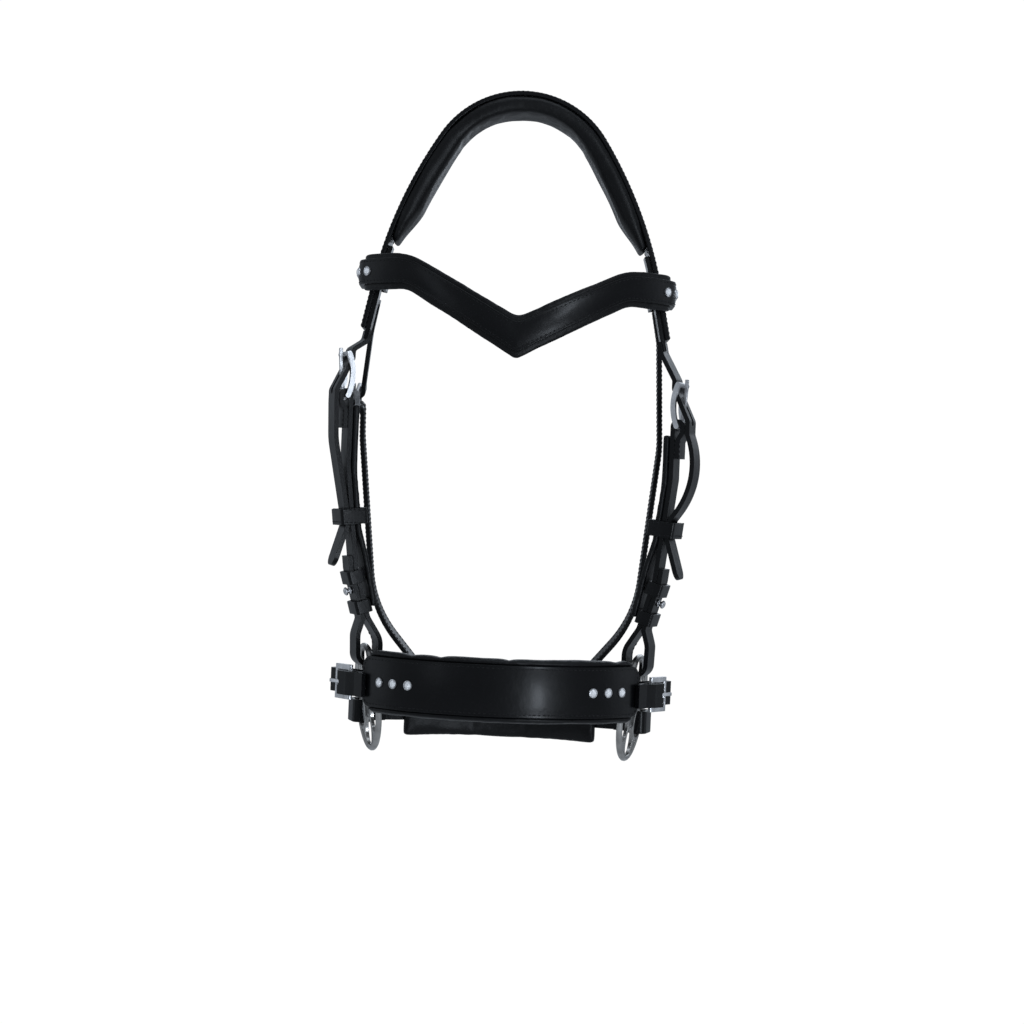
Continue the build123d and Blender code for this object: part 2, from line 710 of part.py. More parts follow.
frame = throat_buckle_plane()
far = -throat_buckle_drop + throat_buckle_length
with BuildPart() as throat_billet:
    with BuildSketch(throat_plane()):
        with BuildLine():
            FilletPolyline(
                *throat_top(-1),
                (-(throat_half - under), far + 3),
                (-(throat_half - under), far - 2),
                (-(throat_half + over), -throat_buckle_drop + 3),
                (-(throat_half + over), -throat_buckle_drop - 8),
                (-(throat_half + layer), -throat_buckle_drop - throat_tail),
                radius=[30, 6, 2.5, 3, 10],
            )
        trace(line_width=leather)
    extrude(amount=throat_width / 2, both=True)
    add(slit(frame, 1, 12), mode=Mode.SUBTRACT)
save(throat_billet.part, "throat_billet")

with BuildPart() as throatlash:
    with BuildSketch(throat_plane()):
        with BuildLine():
            FilletPolyline(
                (-(throat_half + fold_radius - 2), -throat_buckle_drop - 16),
                (-(throat_half + fold_radius), -throat_buckle_drop - 4),
                (-(throat_half + fold_radius), -throat_buckle_drop + fold_radius),
                (-(throat_half - fold_radius), -throat_buckle_drop + fold_radius),
                (-(throat_half - fold_radius), -throat_buckle_drop - 20),
                (-throat_low, throat_bow - throat_drop),
                (-throat_low / 2, -throat_drop),
                (throat_low / 2, -throat_drop),
                (throat_low, throat_bow - throat_drop),
                (throat_half - fold_radius, -throat_buckle_drop - 20),
                *reversed(throat_top(1)),
                radius=[3, fold_radius * 0.98, fold_radius * 0.98, 90, 90, 50, 50, 90, 90, 30],
            )
        trace(line_width=leather)
    extrude(amount=throat_width / 2, both=True)
    add(slit(frame, -3, 7), mode=Mode.SUBTRACT)
save(throatlash.part, "throatlash")
save(buckle(frame, throat_buckle_length, throat_width).part, "throat_buckle")
save(tongue(frame, throat_buckle_length).part, "throat_tongue")

# ---- Crystals ----
middle = Vector(0, nose_front_y + nose_radius, nose_z)
step = degrees(crystal_pitch / nose_radius)
places = []
for side in (1, -1):
    for count in (-1, 0, 1):
        angle = radians(nose_crystal_angle + count * step)
        out = Vector(side * sin(angle), -cos(angle), 0)
        places.append(Plane(origin=middle + out * nose_radius, z_dir=out))
save(crystals(places).part, "noseband_crystals")

places = []
for side in (1, -1):
    for count in (0, 1, 2):
        along = brow_stone_end - count * crystal_pitch
        angle = max(along, 0) / brow_corner
        out = Vector(side * cos(angle), -sin(angle), 0)
        corner = Vector(side * (brow_half - brow_corner), brow_corner_y - min(along, 0), brow_end_z - side * brow_slip)
        places.append(Plane(origin=corner + out * brow_corner, z_dir=out))
save(crystals(places).part, "browband_crystals")
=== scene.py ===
import json
import math

import bmesh
import bpy
from mathutils import Matrix, Vector, noise


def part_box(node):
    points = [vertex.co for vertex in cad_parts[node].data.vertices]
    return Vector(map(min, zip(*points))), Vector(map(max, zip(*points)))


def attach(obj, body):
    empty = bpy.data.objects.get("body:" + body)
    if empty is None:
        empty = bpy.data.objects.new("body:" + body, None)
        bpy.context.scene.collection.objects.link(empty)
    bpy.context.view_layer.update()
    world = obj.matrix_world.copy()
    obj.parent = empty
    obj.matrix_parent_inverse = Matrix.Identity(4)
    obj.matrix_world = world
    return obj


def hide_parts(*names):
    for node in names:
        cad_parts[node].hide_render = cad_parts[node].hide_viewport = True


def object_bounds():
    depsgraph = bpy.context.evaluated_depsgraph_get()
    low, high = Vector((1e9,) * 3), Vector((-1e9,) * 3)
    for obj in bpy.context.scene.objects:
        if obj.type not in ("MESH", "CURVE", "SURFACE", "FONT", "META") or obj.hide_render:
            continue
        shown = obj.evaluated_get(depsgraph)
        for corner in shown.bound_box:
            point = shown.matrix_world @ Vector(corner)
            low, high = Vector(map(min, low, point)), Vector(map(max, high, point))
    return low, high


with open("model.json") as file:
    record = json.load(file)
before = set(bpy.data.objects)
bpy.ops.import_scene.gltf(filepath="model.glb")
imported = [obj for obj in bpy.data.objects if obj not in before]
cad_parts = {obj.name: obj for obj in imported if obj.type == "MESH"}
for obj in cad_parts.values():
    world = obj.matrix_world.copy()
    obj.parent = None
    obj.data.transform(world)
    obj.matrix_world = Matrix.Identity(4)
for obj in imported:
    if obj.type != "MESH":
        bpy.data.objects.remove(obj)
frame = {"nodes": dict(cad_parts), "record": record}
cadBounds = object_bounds()
mm = 0.001
bodyOf = {node: body for body, nodes in frame["record"]["behaviour"]["bodies"].items() for node in nodes}
sides = {"left": -1, "right": 1}


# ---- materials ----
def startMaterial(name):
    material = bpy.data.materials.new(name)
    material.use_nodes = True
    tree = material.node_tree
    return material, tree, tree.nodes["Principled BSDF"]


def addNode(tree, kind, **values):
    node = tree.nodes.new(kind)
    for key, value in values.items():
        if hasattr(node, key):
            setattr(node, key, value)
        else:
            node.inputs[key.replace("_", " ")].default_value = value
    return node


def ramp(tree, factor, low, high, lowPlace=0.3, highPlace=0.7):
    # a grey or coloured ramp driven by factor
    node = tree.nodes.new("ShaderNodeValToRGB")
    for stop, place, tone in zip(node.color_ramp.elements, (lowPlace, highPlace), (low, high)):
        stop.position = place
        stop.color = (*tone, 1) if isinstance(tone, tuple) else (tone, tone, tone, 1)
    tree.links.new(factor, node.inputs["Fac"])
    return node.outputs["Color"]


def makeLeather(name, look):
    # fine pebble grain, slow waves in the hide, and rubbed patches that shine a little more
    material, tree, shader = startMaterial(name)
    place = tree.nodes.new("ShaderNodeTexCoord").outputs["Object"]
    patches = addNode(tree, "ShaderNodeTexNoise", Scale=look["patchScale"], Detail=4.0, Roughness=0.6)
    grain = addNode(tree, "ShaderNodeTexVoronoi", feature="SMOOTH_F1", Scale=look["grainScale"],
                    Randomness=1.0)
    waves = addNode(tree, "ShaderNodeTexNoise", Scale=look["waveScale"], Detail=3.0, Roughness=0.55)
    for node in (patches, grain, waves):
        tree.links.new(place, node.inputs["Vector"])
    tone = ramp(tree, patches.outputs["Fac"], look["darkTone"], look["lightTone"])
    sheen = ramp(tree, patches.outputs["Fac"], look["rough"], look["rubbed"], 0.35, 0.75)
    tree.links.new(tone, shader.inputs["Base Color"])
    tree.links.new(sheen, shader.inputs["Roughness"])
    coarse = addNode(tree, "ShaderNodeBump", Strength=look["waveDepth"], Distance=0.002)
    fine = addNode(tree, "ShaderNodeBump", Strength=look["grainDepth"], Distance=0.0004)
    tree.links.new(waves.outputs["Fac"], coarse.inputs["Height"])
    tree.links.new(grain.outputs["Distance"], fine.inputs["Height"])
    tree.links.new(coarse.outputs["Normal"], fine.inputs["Normal"])
    tree.links.new(fine.outputs["Normal"], shader.inputs["Normal"])
    shader.inputs["Coat Weight"].default_value = look["coat"]
    shader.inputs["Coat Roughness"].default_value = look["coatRough"]
    shader.inputs["Specular IOR Level"].default_value = look["specular"]
    return material


def makeMetal(name, look):
    # polished metal with faint drawn marks and slightly duller handling patches
    material, tree, shader = startMaterial(name)
    place = tree.nodes.new("ShaderNodeTexCoord").outputs["Object"]
    marks = addNode(tree, "ShaderNodeTexNoise", Scale=look["markScale"], Detail=6.0, Roughness=0.7)
    patches = addNode(tree, "ShaderNodeTexNoise", Scale=look["patchScale"], Detail=3.0)
    for node in (marks, patches):
        tree.links.new(place, node.inputs["Vector"])
    tone = ramp(tree, patches.outputs["Fac"], look["darkTone"], look["lightTone"])
    sheen = ramp(tree, patches.outputs["Fac"], look["smooth"], look["dull"])
    tree.links.new(tone, shader.inputs["Base Color"])
    tree.links.new(sheen, shader.inputs["Roughness"])
    bump = addNode(tree, "ShaderNodeBump", Strength=look["markDepth"], Distance=0.0002)
    tree.links.new(marks.outputs["Fac"], bump.inputs["Height"])
    tree.links.new(bump.outputs["Normal"], shader.inputs["Normal"])
    shader.inputs["Metallic"].default_value = 1.0
    return material


def makeThread(name, look):
    # twisted waxed thread
    material, tree, shader = startMaterial(name)
    place = tree.nodes.new("ShaderNodeTexCoord").outputs["Object"]
    twist = addNode(tree, "ShaderNodeTexWave", Scale=look["twistScale"], Distortion=1.5)
    twist.bands_direction = "DIAGONAL"
    tree.links.new(place, twist.inputs["Vector"])
    tone = ramp(tree, twist.outputs["Fac"], look["darkTone"], look["lightTone"])
    tree.links.new(tone, shader.inputs["Base Color"])
    bump = addNode(tree, "ShaderNodeBump", Strength=0.5, Distance=0.0002)
    tree.links.new(twist.outputs["Fac"], bump.inputs["Height"])
    tree.links.new(bump.outputs["Normal"], shader.inputs["Normal"])
    shader.inputs["Roughness"].default_value = look["rough"]
    shader.inputs["Specular IOR Level"].default_value = look["specular"]
    return material


def makeStone(name, look):
    # pearly cut glass over a foil back
    material, tree, shader = startMaterial(name)
    place = tree.nodes.new("ShaderNodeTexCoord").outputs["Object"]
    cloud = addNode(tree, "ShaderNodeTexNoise", Scale=look["cloudScale"], Detail=2.0)
    tree.links.new(place, cloud.inputs["Vector"])
    tone = ramp(tree, cloud.outputs["Fac"], look["darkTone"], look["lightTone"])
    tree.links.new(tone, shader.inputs["Base Color"])
    tree.links.new(ramp(tree, cloud.outputs["Fac"], 0.06, 0.16), shader.inputs["Roughness"])
    shader.inputs["IOR"].default_value = 1.7
    shader.inputs["Coat Weight"].default_value = 1.0
    shader.inputs["Coat Roughness"].default_value = 0.03
    shader.inputs["Transmission Weight"].default_value = look["clear"]
    return material


strapLook = {
    "darkTone": (0.0012, 0.0013, 0.0017), "lightTone": (0.003, 0.0032, 0.0038), "rough": 0.36, "rubbed": 0.28,
    "patchScale": 45.0, "grainScale": 1700.0, "waveScale": 130.0, "waveDepth": 0.1, "grainDepth": 0.1,
    "coat": 0.1, "coatRough": 0.2, "specular": 0.15,
}
padLook = {
    "darkTone": (0.0014, 0.0015, 0.0019), "lightTone": (0.0034, 0.0036, 0.0042),
    "rough": 0.46, "rubbed": 0.36,
    "patchScale": 60.0, "grainScale": 1300.0, "waveScale": 190.0, "waveDepth": 0.22, "grainDepth": 0.16,
    "coat": 0.05, "coatRough": 0.36, "specular": 0.18,
}
threadLook = {"darkTone": (0.002, 0.002, 0.0025), "lightTone": (0.008, 0.008, 0.009), "rough": 0.5,
              "specular": 0.2, "twistScale": 900.0}
steelLook = {
    "darkTone": (0.5, 0.5, 0.51), "lightTone": (0.7, 0.7, 0.71), "smooth": 0.26, "dull": 0.4,
    "patchScale": 120.0, "markScale": 1400.0, "markDepth": 0.1,
}
nickelLook = {
    "darkTone": (0.26, 0.25, 0.24), "lightTone": (0.5, 0.49, 0.47), "smooth": 0.14, "dull": 0.3,
    "patchScale": 90.0, "markScale": 900.0, "markDepth": 0.22,
}
stoneLook = {
    "darkTone": (0.78, 0.78, 0.8), "lightTone": (0.97, 0.97, 0.97), "cloudScale": 700.0, "clear": 0.0,
}

strapLeather = makeLeather("blackStrapLeather", strapLook)
padLeather = makeLeather("softPaddedLeather", padLook)
waxedThread = makeThread("waxedThread", threadLook)
buckleSteel = makeMetal("polishedBuckleSteel", steelLook)
darkNickel = makeMetal("darkNickel", nickelLook)
stoneGlass = makeStone("stoneGlass", stoneLook)
print("materials made")


# ---- shared making ----
def copyNode(node):
    # the CAD piece as one closed mesh with its flat faces joined
    bm = bmesh.new()
    bm.from_mesh(frame["nodes"][node].data)
    bmesh.ops.remove_doubles(bm, verts=bm.verts, dist=0.01 * mm)
    bmesh.ops.dissolve_limit(bm, angle_limit=math.radians(0.4), verts=bm.verts, edges=bm.edges)
    return bm


def finishMesh(bm, name, material, node, replaced=(), sharp=40):
    mesh = bpy.data.meshes.new(name)
    bm.to_mesh(mesh)
    bm.free()
    mesh.materials.append(material)
    mesh.shade_smooth()
    mesh.set_sharp_from_angle(angle=math.radians(sharp))
    piece = bpy.data.objects.new(name, mesh)
    bpy.context.scene.collection.objects.link(piece)
    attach(piece, bodyOf[node])
    if replaced:
        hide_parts(*replaced)
    return piece


def roundEdges(piece, width, segments=3, angle=32):
    bevel = piece.modifiers.new("roundedEdges", "BEVEL")
    bevel.width = width
    bevel.segments = segments
    bevel.limit_method = "ANGLE"
    bevel.angle_limit = math.radians(angle)
    bevel.harden_normals = True
    return piece


def camel(node):
    first, *rest = node.split("_")
    return first + "".join(word.capitalize() for word in rest)


# ---- stitching ----
stitchShape = {"pitch": 3.3 * mm, "length": 2.5 * mm, "width": 0.9 * mm, "height": 0.8 * mm}


def sewAlong(bm, path, closed, pitch=stitchShape["pitch"]):
    # path: places and outward directions; one small thread loop each pitch
    runs = list(zip(path, path[1:] + path[:1])) if closed else list(zip(path, path[1:]))
    left = pitch / 2
    for (start, outA), (end, outB) in runs:
        span = (end - start).length
        while left < span:
            share = left / span
            out = outA.lerp(outB, share).normalized()
            along = (end - start).normalized()
            across = out.cross(along).normalized()
            spot = Matrix((along, across, along.cross(across))).transposed().to_4x4()
            spot.translation = start.lerp(end, share)
            halves = [stitchShape[way] / 2 for way in ("length", "width", "height")]
            size = Matrix.Diagonal((*halves, 1))
            bmesh.ops.create_uvsphere(bm, u_segments=6, v_segments=4, radius=1.0, matrix=spot @ size)
            left += pitch
        left -= span


def edgePlace(edge):
    return sorted(tuple(vert.co) for vert in edge.verts)


def chainEdges(edges):
    # edges in order, end to end, one list for each separate line, starting from the same edge on every run
    ordered = sorted(edges, key=edgePlace)
    waiting = set(ordered)
    chains = []
    for edge in ordered:
        if edge not in waiting:
            continue
        waiting.remove(edge)
        chain = [edge]
        for atEnd in (True, False):
            vert = edge.verts[1] if atEnd else edge.verts[0]
            while True:
                onward = sorted((other for other in vert.link_edges if other in waiting), key=edgePlace)
                if not onward:
                    break
                waiting.remove(onward[0])
                chain.insert(len(chain) if atEnd else 0, onward[0])
                vert = onward[0].other_vert(vert)
        chains.append(chain)
    return chains


def chainPath(chain):
    # each edge's two ends, with the outward direction of the faces beside it
    path = []
    for edge in chain:
        out = sum((face.normal for face in edge.link_faces), Vector()).normalized()
        path.append((edge.verts[0].co.copy(), edge.verts[1].co.copy(), out))
    return path


def sewCut(thread, node, at, normal, keepStitch=lambda spot, out: True):
    # stitches where a flat cut would meet the strap's faces
    bm = copyNode(node)
    everything = bm.verts[:] + bm.edges[:] + bm.faces[:]
    cut = bmesh.ops.bisect_plane(bm, geom=everything, plane_co=at, plane_no=normal)["geom_cut"]
    edges = [item for item in cut if isinstance(item, bmesh.types.BMEdge)]
    for chain in chainEdges(edges):
        runs = []
        for first, second, out in chainPath(chain):
            if (second - first).length < 0.02 * mm:
                continue
            if runs and (runs[-1][1] - first).length > (runs[-1][1] - second).length:
                first, second = second, first
            elif not runs:
                nextEdge = chain[1] if len(chain) > 1 else None
                if nextEdge and any((vert.co - first).length < 0.001 * mm for vert in nextEdge.verts):
                    first, second = second, first
            runs.append((first, second, out))
        # a sharp turn of the outward direction ends one line of stitches
        line = []
        for run in runs:
            if line and line[-1][2].dot(run[2]) < 0.6:
                sewLine(thread, line, keepStitch)
                line = []
            line.append(run)
        sewLine(thread, line, keepStitch)
    bm.free()


def sewLine(thread, line, keepStitch):
    total = sum((second - first).length for first, second, out in line)
    if total < 3 * stitchShape["pitch"]:
        return
    path = [(line[0][0], line[0][2])] + [(second, out) for first, second, out in line]
    kept = []
    for spot, out in path:
        if keepStitch(spot, out):
            kept.append((spot, out))
        else:
            if len(kept) > 1:
                sewAlong(thread, kept, False)
            kept = []
    if len(kept) > 1:
        sewAlong(thread, kept, False)


# ---- straps ----
strapWork = {
    "edgeRound": 0.8 * mm,
    "keeperRound": 0.7 * mm,
    "thickness": 3.2 * mm,
    "tipRadius": 6.5 * mm,
    "inFromEdge": 2.2 * mm,
    "throatSlant": 18.0,
}


def makeStrap(node, edgeRound):
    piece = finishMesh(copyNode(node), camel(node) + "Leather", strapLeather, node, [node])
    return roundEdges(piece, edgeRound)


def sewStrapEdges(name, node, across=(0, 1, 0), low=-10.0, high=10.0):
    # two rows along a strap whose width runs along across, between two heights
    thread = bmesh.new()
    across = Vector(across).normalized()
    reach = [vert.co.dot(across) for vert in frame["nodes"][node].data.vertices]
    keepStitch = lambda spot, out: low < spot.z < high
    for place in (min(reach) + strapWork["inFromEdge"], max(reach) - strapWork["inFromEdge"]):
        sewCut(thread, node, across * place, across, keepStitch)
    return finishMesh(thread, name, waxedThread, node)


def roundTip(node, piece, radius):
    # the lowest end of a strap gets a rounded tip
    bm = bmesh.new()
    bm.from_mesh(piece.data)
    lowest = min(vert.co.z for vert in bm.verts)
    corners = [edge for edge in bm.edges
               if max(vert.co.z for vert in edge.verts) < lowest + 4 * mm
               and abs(edge.calc_length() - strapWork["thickness"]) < 0.3 * mm
               and edge.calc_face_angle(0.0) > math.radians(60)]
    bmesh.ops.bevel(bm, geom=corners, offset=radius, segments=6, profile=0.5, affect="EDGES", material=-1,
                    clamp_overlap=True)
    bm.to_mesh(piece.data)
    bm.free()
    piece.data.set_sharp_from_angle(angle=math.radians(40))


plainStraps = ["crown_strap", "chin_strap", "throat_billet", "throatlash"]
for side in sides:
    plainStraps += [f"{piece}_{side}" for piece in (
        "crown_billet", "cheek_strap", "nose_billet", "nose_chape",
        "big_keeper", "small_keeper", "loose_keeper", "browband_loop",
    )]
for node in plainStraps:
    narrow = "keeper" in node or "loop" in node
    piece = makeStrap(node, strapWork["keeperRound" if narrow else "edgeRound"])
    if "billet" in node and "nose" not in node:
        roundTip(node, piece, strapWork["tipRadius"])
print("straps made")

sewStrapEdges("crownStitches", "crown_strap")
for side in sides:
    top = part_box(f"cheek_strap_{side}")[1][2]
    sewStrapEdges(f"cheekStitches{side.capitalize()}", f"cheek_strap_{side}", high=top - 12 * mm)
    sewStrapEdges(f"keeperStitches{side.capitalize()}", f"big_keeper_{side}", across=(0, 0, 1))
slant = math.radians(strapWork["throatSlant"])
sewStrapEdges("throatStitches", "throatlash", across=(0, math.cos(slant), math.sin(slant)))
print("strap stitching made")


# ---- panels: the shaped leather on the noseband and the browband ----
def makePanel(node, away, inset, lift, sewn):
    # the outer face is inset for the stitch line, then crowned inside it
    bm = copyNode(node)
    outer = [face for face in bm.faces if face.normal.dot(away(face.calc_center_median())) > 0.6]
    bmesh.ops.inset_region(bm, faces=outer, thickness=inset, use_even_offset=True, use_boundary=True)
    line = {edge for face in outer for edge in face.edges
            if any(other not in outer for other in edge.link_faces)}
    thread = bmesh.new()
    for chain in chainEdges(line):
        path = []
        for index, edge in enumerate(chain):
            onward = chain[(index + 1) % len(chain)]
            shared = set(edge.verts) & set(onward.verts)
            if shared:
                vert = shared.pop()
                path.append((vert.co.copy(), away(vert.co)))
        sewAlong(thread, path, True)
    bmesh.ops.inset_region(bm, faces=outer, thickness=sewn, depth=lift, use_even_offset=True,
                           use_boundary=True)
    piece = finishMesh(bm, camel(node) + "Leather", strapLeather, node, [node], sharp=30)
    roundEdges(piece, 0.7 * mm, angle=25)
    return piece, finishMesh(thread, camel(node) + "Stitches", waxedThread, node)


def fromAxis(centreY):
    def away(spot):
        return Vector((spot[0], spot[1] - centreY, 0)).normalized()
    return away


noseband = {
    "centreY": 10 * mm, "radius": 115 * mm, "inset": 2.0 * mm, "crown": 0.5 * mm, "slope": 3.0 * mm,
    "gathers": (-59 * mm, -40 * mm, 5 * mm, 76 * mm), "gatherDepth": 1.6 * mm, "gatherSpread": 4 * mm,
}
makePanel("noseband_strap", fromAxis(noseband["centreY"]), noseband["inset"], noseband["crown"],
          noseband["slope"])
browband = {"centreY": 10 * mm, "inset": 1.8 * mm, "crown": 0.5 * mm, "slope": 2.2 * mm}
makePanel("browband_strap", fromAxis(browband["centreY"]), browband["inset"], browband["crown"],
          browband["slope"])
print("panels made")


# ---- padded pieces ----
padWork = {"pressure": 4.0, "frames": 16}


def remeshed(node, voxel):
    bm = copyNode(node)
    bmesh.ops.triangulate(bm, faces=bm.faces)
    mesh = bpy.data.meshes.new("remeshing")
    bm.to_mesh(mesh)
    bm.free()
    piece = bpy.data.objects.new("remeshing", mesh)
    bpy.context.scene.collection.objects.link(piece)
    modifier = piece.modifiers.new("voxels", "REMESH")
    modifier.mode = "VOXEL"
    modifier.voxel_size = voxel
    result = bmesh.new()
    result.from_object(piece, bpy.context.evaluated_depsgraph_get())
    bpy.data.objects.remove(piece)
    bpy.data.meshes.remove(mesh)
    return result


def soften(bm, times):
    for _ in range(times):
        bmesh.ops.smooth_vert(bm, verts=bm.verts, factor=0.5, use_axis_x=True, use_axis_y=True,
                              use_axis_z=True)


def crumple(bm, size, depth, seed):
    # small even unevenness, the same on every run
    bm.normal_update()
    shift = Vector((seed, seed * 2.3, seed * 0.7))
    moves = [vert.normal * depth * noise.noise(vert.co / size + shift) for vert in bm.verts]
    for vert, move in zip(bm.verts, moves):
        vert.co += move


def puff(bm, cap):
    # the filling presses the cover outwards, by no more than cap
    mesh = bpy.data.meshes.new("puffing")
    bm.to_mesh(mesh)
    piece = bpy.data.objects.new("puffing", mesh)
    bpy.context.scene.collection.objects.link(piece)
    cloth = piece.modifiers.new("cover", "CLOTH")
    cloth.settings.use_pressure = True
    cloth.settings.uniform_pressure_force = padWork["pressure"]
    cloth.settings.effector_weights.gravity = 0
    cloth.settings.quality = 5
    cloth.collision_settings.use_collision = False
    cloth.point_cache.frame_start = 1
    cloth.point_cache.frame_end = padWork["frames"]
    for number in range(1, padWork["frames"] + 1):
        bpy.context.scene.frame_set(number)
    puffed = piece.evaluated_get(bpy.context.evaluated_depsgraph_get()).data
    for vert, moved in zip(bm.verts, puffed.vertices):
        shift = moved.co - vert.co
        vert.co += shift.normalized() * min(shift.length, cap)
    bpy.data.objects.remove(piece)
    bpy.data.meshes.remove(mesh)
    bpy.context.scene.frame_set(1)


def makePad(node, voxel, smoothing, crumpleSize, crumpleDepth, seed, shape=None, cap=0.0):
    bm = remeshed(node, voxel)
    soften(bm, smoothing)
    if cap:
        puff(bm, cap)
        soften(bm, 2)
    if shape:
        shape(bm)
    crumple(bm, crumpleSize, crumpleDepth, seed)
    soften(bm, 1)
    piece = finishMesh(bm, camel(node) + "Padding", padLeather, node, [node], sharp=80)
    return piece


def rollNosebandRim(bm):
    # rims that roll out beside the panel, with gathers along the top one
    lowest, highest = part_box("noseband_pad")
    middle = (lowest[2] + highest[2]) / 2
    half = (highest[2] - lowest[2]) / 2
    away = fromAxis(noseband["centreY"])
    bm.normal_update()
    for vert in bm.verts:
        top = max(0.0, (vert.co.z - middle - half * 0.75) / (half * 0.25))
        near = sum(math.exp(-abs(vert.co.x - place) / noseband["gatherSpread"])
                   for place in noseband["gathers"])
        vert.co.z -= top * near * noseband["gatherDepth"]
    for vert in bm.verts:
        height = abs(vert.co.z - middle)
        out = away(vert.co)
        facing = max(0.0, vert.normal.dot(out))
        rim = max(0.0, 1 - abs(height - half + 2.6 * mm) / (2.6 * mm))
        vert.co += out * facing * rim * 2.6 * mm


def taperCrownEnds(bm):
    # the roll thins and narrows towards its two ends
    lowest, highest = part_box("crown_pad")
    for vert in bm.verts:
        share = min(1.0, max(0.0, (vert.co.z - lowest[2]) / padEnds["length"]))
        ease = share * share * (3 - 2 * share)
        sign = 1 if vert.co.x > 0 else -1
        outer = sign * (highest[0] - padEnds["lean"] * (vert.co.z - lowest[2]))
        vert.co.x += (outer - vert.co.x) * (1 - ease) * padEnds["thin"]
        vert.co.y *= 1 - (1 - ease) * padEnds["narrow"]


padEnds = {"length": 26 * mm, "thin": 0.55, "narrow": 0.22, "lean": 0.3}
makePad("crown_pad", 1.9 * mm, 9, 26 * mm, 0.7 * mm, 3.1, taperCrownEnds, cap=1.2 * mm)
makePad("browband_pad", 1.1 * mm, 7, 18 * mm, 0.35 * mm, 5.7)
makePad("noseband_pad", 1.4 * mm, 7, 20 * mm, 0.5 * mm, 8.2, rollNosebandRim, cap=0.9 * mm)
makePad("chin_pad", 1.6 * mm, 8, 24 * mm, 0.6 * mm, 2.6, cap=1.2 * mm)
for side, seed in (("left", 4.4), ("right", 6.9)):
    makePad(f"cheek_lining_{side}", 1.0 * mm, 6, 16 * mm, 0.3 * mm, seed)
print("padding made")


# ---- buckles, studs and wheels ----
wheelShape = {
    "webShare": 0.5, "rim": 37.5 * mm, "rimWire": 2.2 * mm, "holes": 6, "hole": 10.2 * mm,
    "holeCircle": 24.2 * mm, "holeWire": 1.5 * mm, "hub": 6.0 * mm, "hubRise": 4.2 * mm,
}


def addRing(bm, place, radius, wire, steps):
    # a round wire bent into a closed ring about place's Z
    start = place @ Matrix.Translation((radius, 0, 0)) @ Matrix.Rotation(math.radians(90), 4, "X")
    circle = bmesh.ops.create_circle(bm, segments=14, radius=wire, matrix=start)["verts"]
    edges = list(dict.fromkeys(edge for vert in circle for edge in vert.link_edges))
    bmesh.ops.spin(bm, geom=circle + edges, cent=place.translation, axis=place.to_3x3().col[2],
                   angle=math.tau, steps=steps, use_merge=True)


def makeWheel(side):
    # round wire rings with a thinner web between them and a domed hub
    node = f"wheel_{side}"
    record = frame["record"]
    joint = next(item for item in record["behaviour"]["joints"] if item["name"] == f"wheel_turn_{side}")
    rein = next(item for item in record["mounts"] if item["name"] == f"rein_hole_{side}")
    centre = Vector(joint["pos_m"])
    axis = Vector(joint["axis"]).normalized()
    toHole = Vector(rein["pos_m"]) - centre
    toHole = (toHole - axis * toHole.dot(axis)).normalized()
    place = Matrix((toHole, axis.cross(toHole), axis)).transposed().to_4x4()
    place.translation = centre
    web = copyNode(node)
    flatten = place @ Matrix.Diagonal((1, 1, wheelShape["webShare"], 1)) @ place.inverted()
    bmesh.ops.transform(web, matrix=flatten, verts=web.verts)
    piece = finishMesh(web, camel(node) + "Web", darkNickel, node, [node])
    roundEdges(piece, 0.5 * mm)
    rings = bmesh.new()
    addRing(rings, place, wheelShape["rim"] - wheelShape["rimWire"], wheelShape["rimWire"], 72)
    for count in range(wheelShape["holes"]):
        turned = place @ Matrix.Rotation(math.tau * count / wheelShape["holes"], 4, "Z")
        hole = turned @ Matrix.Translation((wheelShape["holeCircle"], 0, 0))
        addRing(rings, hole, wheelShape["hole"] + wheelShape["holeWire"], wheelShape["holeWire"], 36)
    dome = place @ Matrix.Diagonal((1, 1, wheelShape["hubRise"] / wheelShape["hub"], 1))
    bmesh.ops.create_uvsphere(rings, u_segments=24, v_segments=12, radius=wheelShape["hub"], matrix=dome)
    bmesh.ops.recalc_face_normals(rings, faces=rings.faces)
    finishMesh(rings, camel(node) + "Rings", darkNickel, node, [node])


for side in sides:
    for node in (f"cheek_buckle_{side}", f"nose_buckle_{side}"):
        roundEdges(finishMesh(copyNode(node), camel(node) + "Steel", buckleSteel, node, [node]), 1.1 * mm, 4)
    for node in (f"cheek_tongue_{side}", f"nose_tongue_{side}"):
        roundEdges(finishMesh(copyNode(node), camel(node) + "Steel", buckleSteel, node, [node]), 0.7 * mm, 3)
    node = f"hook_stud_{side}"
    roundEdges(finishMesh(copyNode(node), camel(node) + "Steel", buckleSteel, node, [node]), 0.25 * mm, 2)
    makeWheel(side)
for node, width in (("throat_buckle", 1.1 * mm), ("throat_tongue", 0.7 * mm)):
    roundEdges(finishMesh(copyNode(node), camel(node) + "Steel", buckleSteel, node, [node]), width)
print("metal made")


# ---- crystals: cut stones in claw settings ----
stone = {
    "radius": 2.7 * mm, "rise": 1.9 * mm, "cup": 3.25 * mm, "table": 0.52, "girdle": 0.7 * mm, "facets": 10,
}


